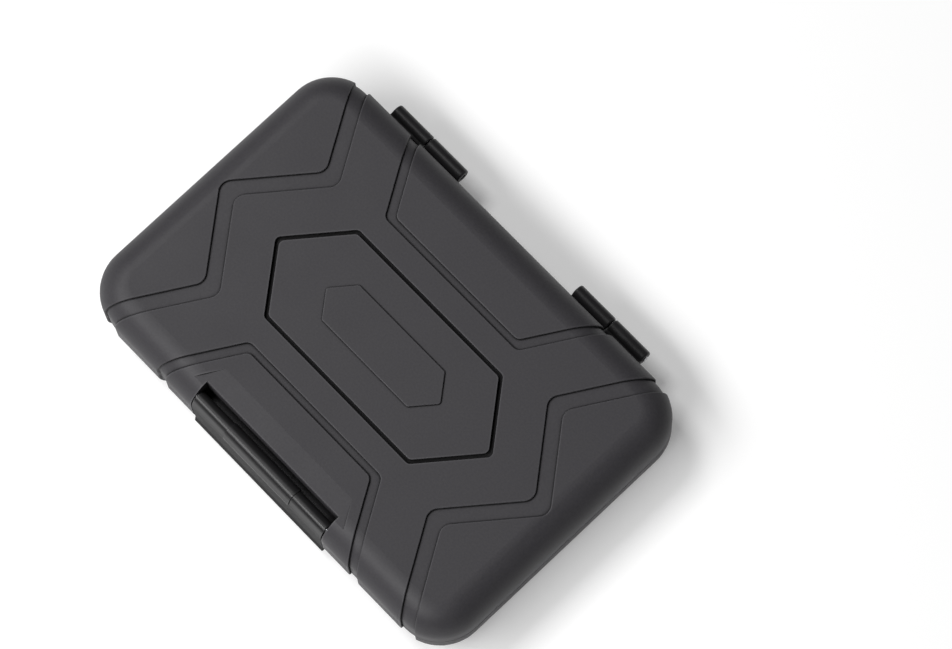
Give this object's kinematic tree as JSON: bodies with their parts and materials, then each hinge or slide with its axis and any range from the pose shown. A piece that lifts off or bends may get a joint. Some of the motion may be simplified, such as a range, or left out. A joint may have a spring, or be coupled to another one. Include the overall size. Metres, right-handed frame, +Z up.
{
  "type": "memory card case",
  "caption": "Hard rectangular memory card case with a hinged lid, front snap latch, hexagon relief panels, rim seal and soft inner trays with card pockets.",
  "frame": {"origin": "middle of the closed case's underside, on the surface it lies on", "axes": "+X along the length, +Y from the latch towards the hinges, +Z up out of the lid"},
  "size_m": [0.122, 0.0867, 0.0225],
  "materials": {
    "shell": "fine matte grain",
    "latch": "satin black",
    "pin": "drawn steel",
    "seal": "smooth",
    "tray": "soft matte"
  },
  "bodies": {
    "base": {"base_shell": "shell", "base_tray": "tray", "gasket": "seal", "left_hinge_pin": "pin", "right_hinge_pin": "pin"},
    "lid": {"lid_shell": "shell", "lid_tray": "tray", "latch_pin": "pin"},
    "latch": {"latch": "latch"}
  },
  "joints": [
    {"name": "lid_hinge", "type": "hinge", "parent": "base", "child": "lid", "pos_m": [0, 0.0434, 0.011], "axis": [-1, 0, 0], "range_deg": [0, 178]},
    {"name": "latch_hinge", "type": "hinge", "parent": "lid", "child": "latch", "pos_m": [0, -0.0385, 0.0179], "axis": [-1, 0, 0], "range_deg": [0, 110]}
  ]
}
